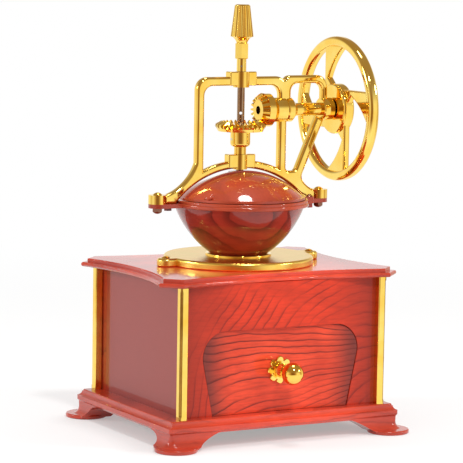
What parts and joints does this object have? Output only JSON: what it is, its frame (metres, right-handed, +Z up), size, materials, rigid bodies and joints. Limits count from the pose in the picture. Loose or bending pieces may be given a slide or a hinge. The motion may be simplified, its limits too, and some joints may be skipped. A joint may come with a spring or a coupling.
{
  "type": "hand crank coffee grinder",
  "caption": "Table coffee grinder: wooden drawer box on a footed plinth, domed hopper, cast yoke with a bevel pair, turned by a hand wheel.",
  "frame": {"origin": "on the floor, on the line of the vertical shaft, at the middle of the overall footprint", "axes": "+Z up along the vertical shaft, -Y out of the front with the drawer, +X towards the hand wheel"},
  "size_m": [0.1726, 0.1497, 0.26],
  "materials": {
    "red_wood": "gloss lacquered red wood with dark grain",
    "plain_wood": "plain sanded wood",
    "red_lacquer": "gloss dark red lacquer with wood-look grain",
    "gold": "polished gold plate",
    "bronze": "plain bearing bronze",
    "steel": "bright steel",
    "iron": "hardened grey iron",
    "dark_screw": "dark brown plated"
  },
  "bodies": {
    "body": {"base_plinth": "red_wood", "floor_board": "plain_wood", "front_panel": "red_wood", "back_panel": "red_wood", "left_panel": "red_wood", "right_panel": "red_wood", "column_front_left": "gold", "column_front_right": "gold", "column_back_left": "gold", "column_back_right": "gold", "drawer_guide": "plain_wood", "top_moulding": "red_wood", "top_board": "red_wood", "deck_plate": "gold", "deck_screw_left": "gold", "deck_screw_right": "gold", "bowl_ring": "gold", "hopper_bowl": "red_lacquer", "dome_rear": "red_lacquer", "rim_screw_left": "dark_screw", "rim_screw_right": "dark_screw", "yoke_frame": "gold", "upper_bush": "bronze", "lower_bush": "bronze", "axle_bush_inner": "bronze", "axle_bush_outer": "bronze", "yoke_bolt_left": "gold", "yoke_bolt_right": "gold", "acorn_nut_left": "dark_screw", "acorn_nut_right": "dark_screw", "burr_housing": "iron", "outer_burr": "iron", "burr_bridge": "iron"},
    "crank": {"crank_axle": "gold", "pinion": "gold", "pinion_pin": "steel", "hand_wheel": "gold", "wheel_nut": "gold", "crank_knob_pin": "gold"},
    "crank_handle": {"crank_knob": "red_wood"},
    "spindle": {"vertical_shaft": "gold", "collar_pin": "steel", "finial": "gold", "crown_gear": "gold", "crown_pin": "steel", "inner_burr": "iron", "thrust_washer": "steel", "burr_spring": "steel"},
    "adjuster": {"adjuster_nut": "bronze"},
    "drawer": {"drawer_front": "red_wood", "drawer_left_side": "plain_wood", "drawer_right_side": "plain_wood", "drawer_floor": "plain_wood", "drawer_back": "plain_wood", "knob_rosette": "gold", "drawer_knob": "gold", "knob_screw": "steel"},
    "lid": {"dome_lid": "red_lacquer", "lid_knob": "red_lacquer"}
  },
  "joints": [
    {"name": "crank_turn", "type": "hinge", "parent": "body", "child": "crank", "pos_m": [0, 0, 0.195], "axis": [1, 0, 0], "continuous": true},
    {"name": "spindle_turn", "type": "hinge", "parent": "body", "child": "spindle", "pos_m": [0, 0, 0.195], "axis": [0, 0, 1], "continuous": true},
    {"name": "crank_knob_spin", "type": "hinge", "parent": "crank", "child": "crank_handle", "pos_m": [0.079, 0.031, 0.189], "axis": [1, 0, 0], "continuous": true},
    {"name": "adjuster_turn", "type": "hinge", "parent": "spindle", "child": "adjuster", "pos_m": [0, 0, 0.0665], "axis": [0, 0, 1], "range_deg": [-180, 180]},
    {"name": "drawer_slide", "type": "slide", "parent": "body", "child": "drawer", "axis": [0, -1, 0], "range_m": [0, 0.072]},
    {"name": "lid_turn", "type": "hinge", "parent": "body", "child": "lid", "pos_m": [0, 0, 0.1415], "axis": [0, 0, 1], "range_deg": [0, 135]}
  ],
  "couplings": [
    {"joint": "spindle_turn", "follows": "crank_turn", "ratio": 0.61538}
  ]
}
